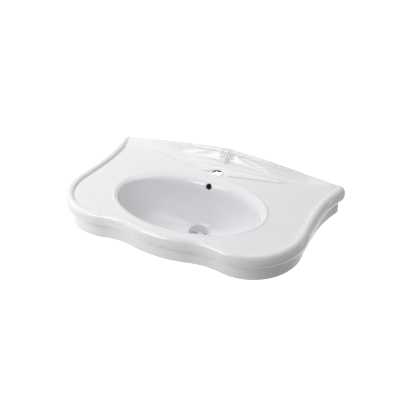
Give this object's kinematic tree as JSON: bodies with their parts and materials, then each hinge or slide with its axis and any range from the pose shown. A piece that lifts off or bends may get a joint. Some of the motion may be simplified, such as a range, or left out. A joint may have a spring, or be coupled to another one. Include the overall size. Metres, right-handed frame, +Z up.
{
  "type": "wall-hung washbasin",
  "caption": "Wall-hung ceramic washbasin with a serpentine beaded rim, low gable splashback, oval bowl, tap hole, overflow and a push-to-open waste with a domed plug.",
  "frame": {"origin": "midway between the two wall fixing holes, on the wall plane", "axes": "+Y into the wall, so the basin reaches out toward -Y; +Z up; +X to the right of a person facing the wall"},
  "size_m": [0.9018, 0.553, 0.307],
  "materials": {
    "china": "gloss",
    "waste_chrome": "polished",
    "cap_chrome": "polished",
    "seal_rubber": "matte",
    "plug_rubber": "matte",
    "slip_plastic": "matte",
    "nut_brass": "machined",
    "stem_brass": "machined",
    "case_plastic": "matte",
    "cam_plastic": "matte",
    "spring_steel": "drawn"
  },
  "bodies": {
    "basin": {"basin": "china", "waste_body": "waste_chrome", "flange_washer": "seal_rubber", "cone_seal": "seal_rubber", "slip_washer": "slip_plastic", "backnut": "nut_brass", "cartridge_case": "case_plastic", "cartridge_clip": "case_plastic", "return_spring": "spring_steel"},
    "plug": {"plug_cap": "cap_chrome", "plug_seal": "plug_rubber", "plug_stem": "stem_brass", "stem_lock_nut": "stem_brass"},
    "cam": {"cam_sleeve": "cam_plastic"}
  },
  "joints": [
    {"name": "plug_travel", "type": "slide", "parent": "basin", "child": "plug", "axis": [0, 0, 1], "range_m": [-0.0072, 0], "stiffness_N_per_m": 220, "springref_m": 0.012, "deforming": ["return_spring"]},
    {"name": "cam_turn", "type": "hinge", "parent": "plug", "child": "cam", "pos_m": [0, -0.251, -0.1525], "axis": [0, 0, 1], "range_deg": [-45.5, 0]}
  ],
  "couplings": [
    {"joint": "cam_turn", "follows": "plug_travel", "rad_per_m": 109}
  ]
}
